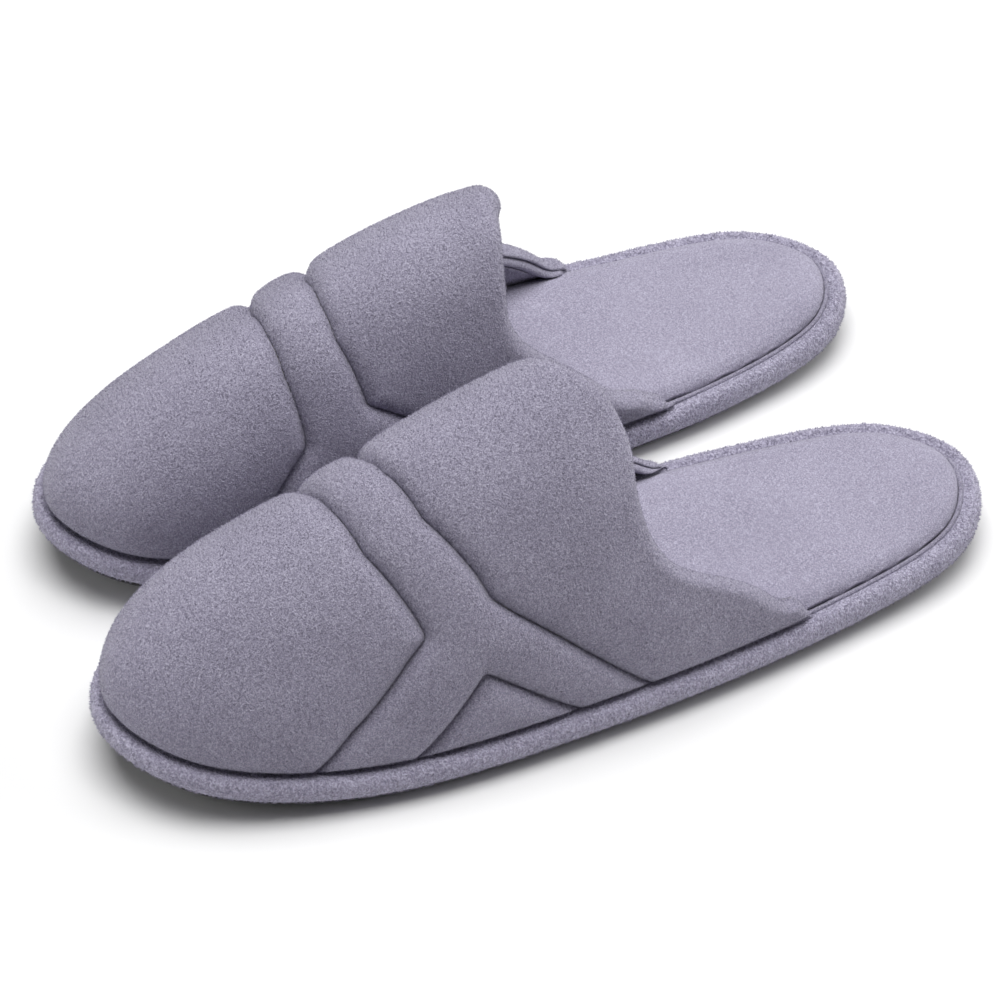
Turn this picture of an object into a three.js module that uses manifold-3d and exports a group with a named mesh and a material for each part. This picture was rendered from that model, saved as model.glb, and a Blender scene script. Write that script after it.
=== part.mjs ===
// A pair of closed-toe spa slippers. Millimetres, +Z up, toes towards -Y, the left slipper at +X.
// One slipper is drawn as the left one, with its outer (lateral) side at +X. The right one is its mirror.
import * as THREE from 'three';
import { LoftGeometry } from 'three/addons/geometries/LoftGeometry.js';
import { mergeVertices } from 'three/addons/utils/BufferGeometryUtils.js';
import Module from 'manifold-3d';

const wasm = await Module();
wasm.setup();

// ---- Driving dimensions ----
const gap = 0.3; // clearance left between two pieces that touch
const layerGap = 0.7; // the same between two curved layers

// Sole outline: how far it reaches from the middle line, on the outer and inner side of the foot.
const soleLength = 270;
const outerSide = { toe: 29.5, ball: 44.8, waist: 46.2, heel: 40, heelEnd: 28 };
const innerSide = { toe: 28.7, ball: 37.1, waist: 38.2, heel: 37.4, heelEnd: 27 };
const toeSpring = 9; // how far the tip of the sole curls up
const heelSpring = 4;
const flatHalf = 60; // half of the length that lies flat

// Sole sandwich, from the floor up.
const outsoleThickness = 3.2;
const outsoleInset = 3;
const outsoleBevel = 0.8;
const wrapThickness = 1.2;
const wrapRoom = 0.7; // between the wrap's side and the midsole
const wrapShoulder = [[1.3, 0.7], [0.3, 2.2], [0, 3.6]]; // side of the wrap, as [inset, drop from the seam]
const wrapTuck = [[0.6, 1], [2.2, 0]]; // where it turns under, as [inset, height above the outsole]
const wrapFlange = 12; // how far it turns in under the midsole
const midsoleThickness = 3.4;
const midsoleInset = 2.4;
const boardThickness = 1;
const seamInset = 3.2; // the feather seam, where upper, insole and wrap meet
const insoleRise = 5.4; // crown of the insole above the board
const insoleClearance = 0.9; // between the insole's edge and the upper
const coverThickness = 1.4;
const pipingRadius = 0.9;
const pipingEndClearance = 6; // from each collar end

// Upper: a padded arch over the foot.
const instepHeight = 75; // ridge above the feather seam, at the tongue
const toeBoxHeight = 22.5;
const toeLength = 46; // the stretch over which the toe rounds down to the sole
const instepAt = 10; // where the ridge stops rising
const ridgeLean = 0.165; // the ridge lies over the big toe side, by this much for each mm of height
const panelThickness = 1.3;
const foamAtSeam = 0.4;
const foamThickness = 4;
const foamSwell = 14; // height over which the foam reaches its full thickness
const liningThickness = 0.7;
const bindingWidth = 2.6;
const bindingSection = [[0, 0], [1, 0], [1, 0.5], [0.75, 1], [0.25, 1], [0, 0.5]]; // shares of depth, width
const seamWidth = 0.5; // groove between two panels
const seamOverrun = 4; // how far each groove is cut on below the feather seam

// The pair: the right slipper stands a little further back, toe turned in.
const pairSpacing = 86.9;
const rightSetBack = 13;
const rightTurn = THREE.MathUtils.degToRad(4.5);

// Lines on the upper, as [y, angle]: 0 is the ridge, 90 the outer feather seam, -90 the inner one.
const rimLine = [
  [58, 87], [53, 84.2], [42, 79], [18, 66.5], [8, 58], [5, 47], [6, 32], [3, 14],
  [-2, 0], [-5, -16], [-8, -34], [-8, -47], [1, -59], [22, -75.5], [38, -82.8], [50, -87],
];
const toeCapLine = [
  [-90, 90], [-79, 75], [-61, 59], [-55, 55], [-57, 48], [-65, 25], [-68, 0],
  [-69, -25], [-68, -46], [-68, -53], [-73, -59], [-82, -72], [-94, -90],
];
const vampLine = [
  [8, 90], [-12, 74], [-30, 59], [-36, 53], [-38, 47], [-48, 25], [-52, 0],
  [-53, -22], [-50, -42], [-49, -49], [-41, -56], [-22, -72], [0, -90],
];
const outerGussetLine = [[-63, 90], [-41, 70], [-14, 90]];
const innerGussetLine = [[-69, -90], [-48, -69], [-21, -90]];

// How finely the curved surfaces are divided.
const aroundSole = 30;
const innerInset = wrapFlange + 2; // plates share their rings from here to the middle
const innerRings = [1, 0.7, 0.44, 0]; // all within 0.44 lies flat
const alongUpper = 24;
const upUpper = 6;
const seamPoints = 720; // round the feather seam, before the upper's own spacing
const pipingPoints = 32;

// ---- Heights worked out from the sandwich ----
const wrapBottom = outsoleThickness + gap;
const midsoleBottom = wrapBottom + wrapThickness + gap;
const boardBottom = midsoleBottom + midsoleThickness + layerGap;
const boardTop = boardBottom + boardThickness;
const seamHeight = boardTop + layerGap;
const layersAtSeam = panelThickness + foamAtSeam + liningThickness + 2 * layerGap;
const insoleInset = seamInset + layersAtSeam + insoleClearance;

// ---- Helpers ----
const mix = THREE.MathUtils.lerp;
const smooth = THREE.MathUtils.smoothstep;

function springAt(y) {
  const run = soleLength / 2 - flatHalf;
  const beyond = Math.max(0, Math.abs(y) - flatHalf) / run;
  return (y < 0 ? toeSpring : heelSpring) * beyond * beyond;
}

function solePoints() {
  const stations = ['toe', 'ball', 'waist', 'heel', 'heelEnd'];
  const yAt = (k) => (-soleLength / 2) * Math.cos(((k + 1) * Math.PI) / 6);
  const outer = stations.map((name, k) => new THREE.Vector3(outerSide[name], yAt(k), 0));
  const inner = stations.map((name, k) => new THREE.Vector3(-innerSide[name], yAt(k), 0));
  const toe = new THREE.Vector3(0, -soleLength / 2, 0);
  const heel = new THREE.Vector3(0, soleLength / 2, 0);
  return [toe, ...outer, heel, ...inner.reverse()];
}

const soleCurve = new THREE.CatmullRomCurve3(solePoints(), true, 'catmullrom', 0.5);

// A point of the sole outline moved inwards, t going once round from the toe by the outer side.
function edgePoint(t, inset, height) {
  const point = soleCurve.getPoint(t);
  const along = soleCurve.getTangent(t);
  point.x -= along.y * inset;
  point.y += along.x * inset;
  point.z = height + springAt(point.y);
  return point;
}

function soleRing(inset, height, shrink = 1) {
  const middle = new THREE.Vector3((outerSide.waist - innerSide.waist) / 2, 0, 0);
  return Array.from({ length: aroundSole }, (_, i) => {
    const point = edgePoint(i / aroundSole, inset, height);
    point.x = mix(middle.x, point.x, shrink);
    point.y = mix(middle.y, point.y, shrink);
    point.z = height + springAt(point.y);
    return point;
  });
}

// Joins the vertices that coincide and drops the triangles that this leaves without area.
function closedGeometry(geometry) {
  const plain = new THREE.BufferGeometry();
  plain.setAttribute('position', geometry.attributes.position);
  plain.setIndex(geometry.index);
  const merged = mergeVertices(plain, 1e-3);
  const index = merged.index.array;
  const kept = [];
  for (let k = 0; k < index.length; k += 3) {
    const [a, b, c] = index.subarray(k, k + 3);
    if (a !== b && b !== c && c !== a) kept.push(a, b, c);
  }
  merged.setIndex(kept);
  merged.computeVertexNormals();
  return merged;
}

// A plate or cushion: its underside, edge and top as rings, closed to a point in the middle of each face.
function plate(edge) {
  const [first, last] = [edge[0], edge[edge.length - 1]];
  const inwards = ({ inset, height }) => {
    const from = Math.max(inset, innerInset);
    return innerRings.map((shrink) => soleRing(from, height, shrink));
  };
  const rings = edge.map((ring) => soleRing(ring.inset, ring.height));
  return closedGeometry(new LoftGeometry([...inwards(first).reverse(), ...rings, ...inwards(last)]));
}

// A bar through closed sections, each a list of points, with flat ends.
function bar(sections) {
  return closedGeometry(new LoftGeometry(sections, { capStart: true, capEnd: true }));
}

function toSolid(geometry) {
  return new wasm.Manifold(new wasm.Mesh({
    numProp: 3,
    vertProperties: geometry.attributes.position.array,
    triVerts: new Uint32Array(geometry.index.array),
  }));
}

function toGeometry(solid) {
  const mesh = solid.getMesh();
  const geometry = new THREE.BufferGeometry();
  geometry.setAttribute('position', new THREE.BufferAttribute(new Float32Array(mesh.vertProperties), 3));
  geometry.setIndex(new THREE.BufferAttribute(new Uint32Array(mesh.triVerts), 1));
  return closedGeometry(geometry);
}

// ---- Sole pieces ----
function outsole() {
  return plate([
    { inset: outsoleInset + outsoleBevel, height: 0 },
    { inset: outsoleInset, height: outsoleBevel },
    { inset: outsoleInset, height: outsoleThickness },
  ]);
}

function midsole() {
  return plate([
    { inset: midsoleInset, height: midsoleBottom },
    { inset: midsoleInset, height: midsoleBottom + midsoleThickness },
  ]);
}

// The fabric rolled round the platform: from the feather seam, over the side and in under the midsole.
function platformWrap() {
  const side = wrapThickness + wrapRoom;
  const flangeTop = wrapBottom + wrapThickness;
  const profile = [
    [seamInset, boardTop],
    ...wrapShoulder.map(([inset, drop]) => [inset, boardTop - drop]),
    ...wrapTuck.map(([inset, rise]) => [inset, wrapBottom + rise]),
    [wrapFlange, wrapBottom],
    [wrapFlange, flangeTop],
    [side + gap, flangeTop],
    [side, flangeTop + gap],
    [side, boardBottom - gap],
    [seamInset, boardBottom],
  ];
  const sections = [];
  for (let i = 0; i <= aroundSole; i++) {
    sections.push(profile.map(([inset, height]) => edgePoint((i % aroundSole) / aroundSole, inset, height)));
  }
  return closedGeometry(new LoftGeometry(sections));
}

function insoleBoard() {
  const inset = seamInset + 2 * gap;
  return plate([
    { inset, height: boardBottom },
    { inset, height: boardTop },
  ]);
}

// Rounded shoulder of the insole, as [extra inset, share of the rise].
const insoleShoulder = [[0, 0.1], [2, 0.4], [4.5, 0.62], [9, 0.85], [18, 1]];

function insoleDome(inset, rise) {
  return insoleShoulder.map(([extra, share]) => (
    { inset: inset + extra, height: seamHeight + rise * share }
  ));
}

function insoleFoam() {
  const inset = insoleInset + coverThickness + layerGap;
  const rise = insoleRise - coverThickness - layerGap;
  return plate([{ inset, height: seamHeight }, ...insoleDome(inset, rise)]);
}

// The insole's fabric is a cap that opens downwards over the foam.
function insoleCover() {
  const inside = insoleInset + coverThickness;
  return plate([
    ...insoleDome(inside, insoleRise - coverThickness).reverse(),
    { inset: inside, height: seamHeight },
    { inset: insoleInset, height: seamHeight },
    ...insoleDome(insoleInset, insoleRise),
  ]);
}

// ---- Upper surface ----
const seamRing = Array.from({ length: seamPoints }, (_, i) => edgePoint(i / seamPoints, seamInset, 0));
const toeTip = Math.min(...seamRing.map((point) => point.y));

// Distance of the feather seam from the middle line at y, on one side (1 outer, -1 inner).
function seamX(y, side) {
  const half = seamRing.filter((point) => point.x * side >= 0).sort((a, b) => a.y - b.y);
  const next = Math.min(half.length - 1, Math.max(1, half.findIndex((point) => point.y > y)));
  const [a, b] = [half[next - 1], half[next]];
  return mix(a.x, b.x, THREE.MathUtils.clamp((y - a.y) / (b.y - a.y), 0, 1));
}

const archWide = 1.9; // powers of the arch across the foot
const archTall = 1.8;
const toePower = 2.4;
const risePower = 1.5;

function ridgeHeight(y) {
  const back = Math.max(0, instepAt - y) / (instepAt - toeTip);
  const rise = mix(toeBoxHeight, instepHeight, 1 - Math.pow(Math.min(1, back), risePower));
  const toe = THREE.MathUtils.clamp((y - toeTip) / toeLength, 0, 1);
  return rise * Math.pow(1 - Math.pow(1 - toe, toePower), 1 / toePower);
}

function archAt(y) {
  const outer = seamX(y, 1);
  const inner = seamX(y, -1);
  return { middle: (outer + inner) / 2, half: (outer - inner) / 2 };
}

// The outer face of the upper above the plan point (x, y).
function upperPoint(x, y) {
  const { middle, half } = archAt(y);
  const across = Math.min(1, Math.abs(x - middle) / Math.max(half, 1e-3));
  const height = ridgeHeight(y) * Math.pow(1 - Math.pow(across, archWide), 1 / archTall);
  return new THREE.Vector3(x - ridgeLean * height, y, seamHeight + springAt(y) + height);
}

// Plan position of a line point given as [y, angle], before the ridge's lean.
function planPoint(y, angle) {
  const { middle, half } = archAt(y);
  const across = Math.pow(Math.sin(THREE.MathUtils.degToRad(Math.abs(angle))), 2 / archWide);
  return new THREE.Vector2(middle + Math.sign(angle) * half * across, y);
}

function archPoint(y, angle) {
  return upperPoint(planPoint(y, angle).x, y);
}

// Plan points from the outer end of the collar round the toe to its inner end.
function seamRun() {
  const reach = (end, side) => seamRing.filter((point) => point.x * side >= 0 && point.y <= end);
  const outer = reach(rimLine[0][0], 1).sort((a, b) => b.y - a.y);
  const inner = reach(rimLine[rimLine.length - 1][0], -1).sort((a, b) => a.y - b.y);
  return [...outer, ...inner];
}

// Grid over the outer face: rows run along the foot opening, columns climb from the seam to the rim.
function upperGrid() {
  const run = seamRun();
  const seamPath = new THREE.CatmullRomCurve3(run.filter((_, i) => i % 6 === 0 || i === run.length - 1));
  const rimPath = new THREE.SplineCurve(rimLine.map(([y, angle]) => planPoint(y, angle)));
  const rows = [];
  for (let i = 0; i <= alongUpper; i++) {
    const from = seamPath.getPointAt(i / alongUpper);
    const to = rimPath.getPointAt(i / alongUpper);
    const row = [];
    for (let j = 0; j <= upUpper; j++) {
      const climb = 1 - Math.cos((j / upUpper) * Math.PI / 2);
      row.push(upperPoint(mix(from.x, to.x, climb), mix(from.y, to.y, climb)));
    }
    rows.push(row);
  }
  return rows;
}

const grid = upperGrid();

function gridNormal(i, j) {
  const before = grid[Math.max(0, i - 1)][j];
  const after = grid[Math.min(alongUpper, i + 1)][j];
  const below = grid[i][Math.max(0, j - 1)];
  const above = grid[i][Math.min(upUpper, j + 1)];
  const along = after.clone().sub(before);
  const climb = above.clone().sub(below);
  const normal = climb.cross(along);
  if (j === 0) normal.z = 0; // the layers stand level on the feather seam
  return normal.normalize();
}

const normals = grid.map((row, i) => row.map((_, j) => gridNormal(i, j)));

function inFrom(i, j, depth) {
  return grid[i][j].clone().addScaledVector(normals[i][j], -depth);
}

// Foam depth at a grid point: thin at the feather seam, full a little higher up.
function foamDepth(i, j) {
  const height = grid[i][j].z - grid[i][0].z;
  return mix(foamAtSeam, foamThickness, smooth(height, 0, foamSwell));
}

const foamStart = panelThickness + layerGap;
const liningStart = (i, j) => foamStart + foamDepth(i, j) + layerGap;

// One layer of the upper between two depths, closed at each collar end along its middle line.
function upperLayer(outerDepth, innerDepth) {
  const section = (i, outside, inside) => {
    const points = (depth) => grid[i].map((_, j) => inFrom(i, j, depth(i, j)));
    return [...points(outside), ...points(inside).reverse()];
  };
  const halfway = (i, j) => (outerDepth(i, j) + innerDepth(i, j)) / 2;
  const sections = grid.map((_, i) => section(i, outerDepth, innerDepth));
  const ends = [0, alongUpper].map((i) => section(i, halfway, halfway));
  return closedGeometry(new LoftGeometry([ends[0], ...sections, ends[1]]));
}

const upperFoam = () => upperLayer(() => foamStart, (i, j) => foamStart + foamDepth(i, j));
const upperLining = () => upperLayer(liningStart, (i, j) => liningStart(i, j) + liningThickness);

// The strip that closes the rim, a rounded bar lying on the edge of the layers.
function collarBinding() {
  const sections = grid.map((row, i) => {
    const climb = row[upUpper].clone().sub(row[upUpper - 1]).normalize();
    const depth = liningStart(i, upUpper) + liningThickness;
    const points = bindingSection.map(([inward, up]) => (
      inFrom(i, upUpper, depth * inward).addScaledVector(climb, 2 * layerGap + bindingWidth * up)
    ));
    return points.reverse();
  });
  return bar(sections);
}

// A thin blade standing in the upper along a line, reaching through the outer panels only.
function seamBlade(line) {
  const path = new THREE.CatmullRomCurve3(line.map(([y, angle]) => new THREE.Vector3(y, angle, 0)));
  const steps = (line.length - 1) * 2;
  const sideAt = [];
  for (let k = 0; k <= steps; k++) {
    const { x: y, y: angle } = path.getPoint(k / steps);
    const tilt = angle < 0 ? -0.5 : 0.5;
    const here = archPoint(y, angle);
    const nearby = archPoint(y, angle - tilt);
    const over = nearby.clone().sub(archPoint(y, angle - 2 * tilt));
    const back = archPoint(y + tilt, angle - tilt).sub(nearby);
    sideAt.push({ here, normal: back.cross(over).normalize() });
  }
  const lowered = ({ here, normal }) => ({ here: here.clone().setZ(here.z - seamOverrun), normal });
  const stations = [lowered(sideAt[0]), ...sideAt, lowered(sideAt[steps])];
  const reachOut = 2 * panelThickness;
  const reachIn = 2.5 * panelThickness;
  const sections = stations.map(({ here, normal }, k) => {
    const before = stations[Math.max(0, k - 1)].here;
    const after = stations[Math.min(stations.length - 1, k + 1)].here;
    const across = after.clone().sub(before).cross(normal).setLength(seamWidth / 2);
    const corner = (out, side) => here.clone().addScaledVector(normal, out).addScaledVector(across, side);
    return [corner(reachOut, 1), corner(-reachIn, 1), corner(-reachIn, -1), corner(reachOut, -1)];
  });
  return bar(sections);
}

// The outer panels: one shell cut along its seams, its pieces told apart by where they lie.
function upperPanels() {
  let shell = toSolid(upperLayer(() => 0, () => panelThickness));
  for (const line of [toeCapLine, vampLine, outerGussetLine, innerGussetLine]) {
    shell = shell.subtract(toSolid(seamBlade(line)));
  }
  const pieces = shell.decompose().map((solid) => {
    const { min, max } = solid.boundingBox();
    return { solid, x: (min[0] + max[0]) / 2, front: min[1] };
  });
  pieces.sort((a, b) => b.solid.volume() - a.solid.volume());
  const large = pieces.slice(0, 3).sort((a, b) => a.front - b.front);
  const small = pieces.slice(3, 5).sort((a, b) => b.x - a.x);
  return {
    toe_cap: toGeometry(large[0].solid),
    cross_band: toGeometry(large[1].solid),
    vamp: toGeometry(large[2].solid),
    outer_gusset: toGeometry(small[0].solid),
    inner_gusset: toGeometry(small[1].solid),
  };
}

// The piping along the open stretch of the feather seam, round the heel from collar end to collar end.
function insolePiping() {
  const inset = (seamInset + insoleInset) / 2;
  const height = seamHeight + pipingRadius;
  const ring = Array.from({ length: pipingPoints }, (_, i) => edgePoint(i / pipingPoints, inset, height));
  const half = (side, end) => (
    ring.filter((point) => point.x * side > 0 && point.y > end + pipingEndClearance)
  );
  const outer = half(1, rimLine[0][0]).sort((a, b) => a.y - b.y);
  const inner = half(-1, rimLine[rimLine.length - 1][0]).sort((a, b) => b.y - a.y);
  const path = new THREE.CatmullRomCurve3([...outer, ...inner]);
  const section = new THREE.Shape().absarc(0, 0, pipingRadius, 0, 2 * Math.PI);
  return closedGeometry(new THREE.ExtrudeGeometry(section, {
    extrudePath: path, steps: 16, curveSegments: 3, bevelEnabled: false,
  }));
}

// ---- Materials ----
const fleece = { color: 0x9590a6, roughness: 0.95, metalness: 0 };
const fleeceLight = { color: 0xaba7bb, roughness: 0.95, metalness: 0 };
const rubber = { color: 0x17171a, roughness: 0.75, metalness: 0 };
const foam = { color: 0xe6e2d8, roughness: 0.9, metalness: 0 };
const board = { color: 0xb79f7c, roughness: 0.85, metalness: 0 };

// ---- Assembly ----
const panels = upperPanels();
const pieces = [
  ['outsole', outsole(), rubber],
  ['platform_wrap', platformWrap(), fleece],
  ['midsole', midsole(), foam],
  ['insole_board', insoleBoard(), board],
  ['insole_foam', insoleFoam(), foam],
  ['insole_cover', insoleCover(), fleeceLight],
  ['insole_piping', insolePiping(), fleece],
  ['upper_lining', upperLining(), fleece],
  ['upper_foam', upperFoam(), foam],
  ...Object.entries(panels).map(([name, geometry]) => [name, geometry, fleece]),
  ['collar_binding', collarBinding(), fleece],
];

// The mirror image of a geometry, its faces still pointing out.
function mirrored(geometry) {
  const copy = geometry.clone().scale(-1, 1, 1);
  const index = copy.index.array;
  for (let k = 0; k < index.length; k += 3) {
    [index[k + 1], index[k + 2]] = [index[k + 2], index[k + 1]];
  }
  copy.computeVertexNormals();
  return copy;
}

function slipper(side) {
  const group = new THREE.Group();
  for (const [name, geometry, finish] of pieces) {
    const shape = side === 'left' ? geometry : mirrored(geometry);
    const mesh = new THREE.Mesh(shape, new THREE.MeshStandardMaterial(finish));
    mesh.name = `${side}_${name}`;
    group.add(mesh);
  }
  return group;
}

const left = slipper('left');
left.position.x = pairSpacing / 2;
const right = slipper('right');
right.position.set(-pairSpacing / 2, rightSetBack, 0);
right.rotation.z = rightTurn;

// The pair's origin is the middle of its footprint, on the floor.
const pair = new THREE.Group();
pair.add(left, right);
pair.updateMatrixWorld(true);
const middle = new THREE.Box3().setFromObject(pair, true).getCenter(new THREE.Vector3());
left.position.sub(new THREE.Vector3(middle.x, middle.y, 0));
right.position.sub(new THREE.Vector3(middle.x, middle.y, 0));

export default pair;
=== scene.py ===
import math
import bpy
import numpy as np
from mathutils import Matrix, Vector, noise
from mathutils.kdtree import KDTree


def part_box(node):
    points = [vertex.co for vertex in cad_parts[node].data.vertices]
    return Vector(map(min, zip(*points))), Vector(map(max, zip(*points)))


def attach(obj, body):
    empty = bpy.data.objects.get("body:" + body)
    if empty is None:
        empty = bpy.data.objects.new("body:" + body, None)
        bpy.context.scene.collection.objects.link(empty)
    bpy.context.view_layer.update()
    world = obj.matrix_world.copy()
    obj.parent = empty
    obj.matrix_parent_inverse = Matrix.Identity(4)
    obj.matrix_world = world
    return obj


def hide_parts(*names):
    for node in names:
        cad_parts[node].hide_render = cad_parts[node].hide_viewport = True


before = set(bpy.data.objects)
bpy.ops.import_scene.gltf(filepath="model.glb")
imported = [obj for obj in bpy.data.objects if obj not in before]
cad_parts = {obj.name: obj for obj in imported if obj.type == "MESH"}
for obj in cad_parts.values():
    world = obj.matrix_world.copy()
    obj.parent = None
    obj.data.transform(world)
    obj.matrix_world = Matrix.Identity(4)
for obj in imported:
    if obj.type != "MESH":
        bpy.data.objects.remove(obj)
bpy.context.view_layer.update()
scene = bpy.context.scene
mm = 0.001
sides = ["left", "right"]

# Sizes in millimetres, drawn for a left slipper: toes towards -Y, outer side of the foot towards +X.
sole = {
    "length": 270.0,
    "outer": [29.5, 44.8, 46.2, 40.0, 28.0],  # half widths from toe to heel
    "inner": [28.7, 37.1, 38.2, 37.4, 27.0],
    "toeSpring": 9.0,
    "heelSpring": 4.0,
    "flatHalf": 60.0,
}
stack = {
    "outsoleTop": 3.2,
    "midsoleBottom": 5.0,
    "midsoleTop": 8.4,
    "boardBottom": 9.1,
    "boardTop": 10.1,
    "seam": 10.8,  # height of the feather seam, where upper, insole and wrap meet
    "seamInset": 3.2,
    "insoleInset": 7.9,
    "insoleRise": 5.4,
}
arch = {
    "instep": 75.0,
    "toeBox": 22.5,
    "toeLength": 46.0,
    "instepAt": 10.0,
    "lean": 0.165,  # the ridge lies over the big toe
    "wide": 1.9,
    "tall": 1.8,
    "toePower": 2.4,
    "risePower": 1.5,
}
# Lines on the upper as (y, angle): 0 is the ridge, 90 the outer feather seam and -90 the inner one.
rimLine = [
    (61, 90), (58, 88), (53, 84.6), (42, 79), (18, 66.5), (8, 58), (5, 47), (6, 32), (3, 14),
    (-2, 0), (-5, -16), (-8, -34), (-8, -47), (1, -59), (22, -75.5), (38, -82.8), (47, -86.8), (53, -90),
]
toeCapLine = [
    (-90, 90), (-79, 75), (-61, 59), (-55, 55), (-57, 48), (-65, 25), (-68, 0),
    (-69, -25), (-68, -46), (-68, -53), (-73, -59), (-82, -72), (-94, -90),
]
vampLine = [
    (8, 90), (-12, 74), (-30, 59), (-36, 53), (-38, 47), (-48, 25), (-52, 0),
    (-53, -22), (-50, -42), (-49, -49), (-41, -56), (-22, -72), (0, -90),
]
outerGussetLine = [(-63, 90), (-41, 70), (-14, 90)]
innerGussetLine = [(-69, -90), (-48, -69), (-21, -90)]


def smooth(x, low, high):
    t = np.clip((x - low) / (high - low), 0, 1)
    return t * t * (3 - 2 * t)


def unit(v):
    return v / np.maximum(np.linalg.norm(v, axis=-1, keepdims=True), 1e-9)


# Sole outline: a closed curve through twelve points, from the toe round by the outer side.
def curveParts(points, t, closed):
    points = np.asarray(points, float)
    count = len(points)
    spans = count if closed else count - 1
    at = np.asarray(t, float) * spans
    cell = np.minimum(np.floor(at).astype(int), spans - 1) if not closed else np.floor(at).astype(int)
    w = (at - cell)[..., None]
    pick = (lambda k: points[k % count]) if closed else (lambda k: points[np.clip(k, 0, count - 1)])
    return pick(cell - 1), pick(cell), pick(cell + 1), pick(cell + 2), w


def curvePoint(points, t, closed=False):
    a, b, c, d, w = curveParts(points, t, closed)
    into, out = (c - a) / 2, (d - b) / 2
    return b + into * w + (3 * (c - b) - 2 * into - out) * w**2 + (2 * (b - c) + into + out) * w**3


def curveTangent(points, t, closed=False):
    a, b, c, d, w = curveParts(points, t, closed)
    into, out = (c - a) / 2, (d - b) / 2
    return unit(into + 2 * (3 * (c - b) - 2 * into - out) * w + 3 * (2 * (b - c) + into + out) * w**2)


def evenly(points, count):
    # points along a line, the same distance apart
    gone = np.concatenate([[0], np.cumsum(np.linalg.norm(np.diff(points, axis=0), axis=1))])
    want = np.linspace(0, gone[-1], count)
    return np.stack([np.interp(want, gone, points[:, k]) for k in range(points.shape[1])], axis=1)


stations = [-sole["length"] / 2 * math.cos(k * math.pi / 6) for k in range(1, 6)]
outlinePoints = (
    [(0, -sole["length"] / 2)]
    + list(zip(sole["outer"], stations))
    + [(0, sole["length"] / 2)]
    + [(-x, y) for x, y in zip(sole["inner"][::-1], stations[::-1])]
)


def springAt(y):
    beyond = np.maximum(0, np.abs(y) - sole["flatHalf"]) / (sole["length"] / 2 - sole["flatHalf"])
    return np.where(np.asarray(y) < 0, sole["toeSpring"], sole["heelSpring"]) * beyond**2


def edgePoints(t, inset, height):
    # the outline moved inwards, at a height above the sprung sole
    at = curvePoint(outlinePoints, t, True)
    along = curveTangent(outlinePoints, t, True)
    x, y = at[:, 0] - along[:, 1] * inset, at[:, 1] + along[:, 0] * inset
    return np.stack([x, y, height + springAt(y)], axis=1)


seamLoop = edgePoints(np.arange(1440) / 1440, stack["seamInset"], 0)
toeTip = seamLoop[:, 1].min()
seamSides = {}
for sign in (1, -1):
    half = seamLoop[seamLoop[:, 0] * sign >= 0]
    seamSides[sign] = half[np.argsort(half[:, 1])]


def seamX(y, sign):
    half = seamSides[sign]
    return np.interp(y, half[:, 1], half[:, 0])


def ridgeHeight(y):
    back = np.minimum(1, np.maximum(0, arch["instepAt"] - y) / (arch["instepAt"] - toeTip))
    rise = arch["toeBox"] + (arch["instep"] - arch["toeBox"]) * (1 - back ** arch["risePower"])
    toe = np.clip((y - toeTip) / arch["toeLength"], 0, 1)
    return rise * (1 - (1 - toe) ** arch["toePower"]) ** (1 / arch["toePower"])


def planOf(y, angle):
    outer, inner = seamX(y, 1), seamX(y, -1)
    across = np.sin(np.radians(np.abs(angle))) ** (2 / arch["wide"])
    return np.stack([(outer + inner) / 2 + np.sign(angle) * (outer - inner) / 2 * across, y], axis=-1)


def upperPoint(plan):
    x, y = plan[..., 0], plan[..., 1]
    outer, inner = seamX(y, 1), seamX(y, -1)
    across = np.minimum(1, np.abs(x - (outer + inner) / 2) / np.maximum((outer - inner) / 2, 1e-3))
    height = ridgeHeight(y) * (1 - across ** arch["wide"]) ** (1 / arch["tall"])
    return np.stack([x - arch["lean"] * height, y, stack["seam"] + springAt(y) + height], axis=-1)


def angleOf(plan):
    x, y = plan[..., 0], plan[..., 1]
    outer, inner = seamX(y, 1), seamX(y, -1)
    across = (x - (outer + inner) / 2) / np.maximum((outer - inner) / 2, 1e-3)
    return np.sign(across) * np.degrees(np.arcsin(np.minimum(1, np.abs(across)) ** (arch["wide"] / 2)))


# Where each slipper stands: its own outline, laid into the box of its platform in the frame.
def placeOf(side):
    low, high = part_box(side + "_platform_wrap")
    ring = edgePoints(np.arange(30) / 30, 0, 0)[:, :2] * ([1, 1] if side == "left" else [-1, 1])
    turn = 0.0 if side == "left" else math.radians(4.5)
    spin = np.array([[math.cos(turn), -math.sin(turn)], [math.sin(turn), math.cos(turn)]])
    ring = ring @ spin.T
    middle = (ring.min(0) + ring.max(0)) / 2
    return spin, np.array([low[0] + high[0], low[1] + high[1]]) / 2 / mm - middle


places = {side: placeOf(side) for side in sides}


def toFrame(points, side):
    spin, origin = places[side]
    out = np.array(points, float)
    if side == "right":
        out[:, 0] *= -1
    out[:, :2] = out[:, :2] @ spin.T + origin
    return out * mm


# The camera stands in front of the toes, on the left slipper's outer side.
view = {
    "azimuth": 60.71,
    "elevation": 41.84,
    "roll": 3.85,
    "distance": 910.55,
    "lens": 113.0,
    "aim": (-51.53, 9.02, 0.0),  # from the left slipper's own middle
}


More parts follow.
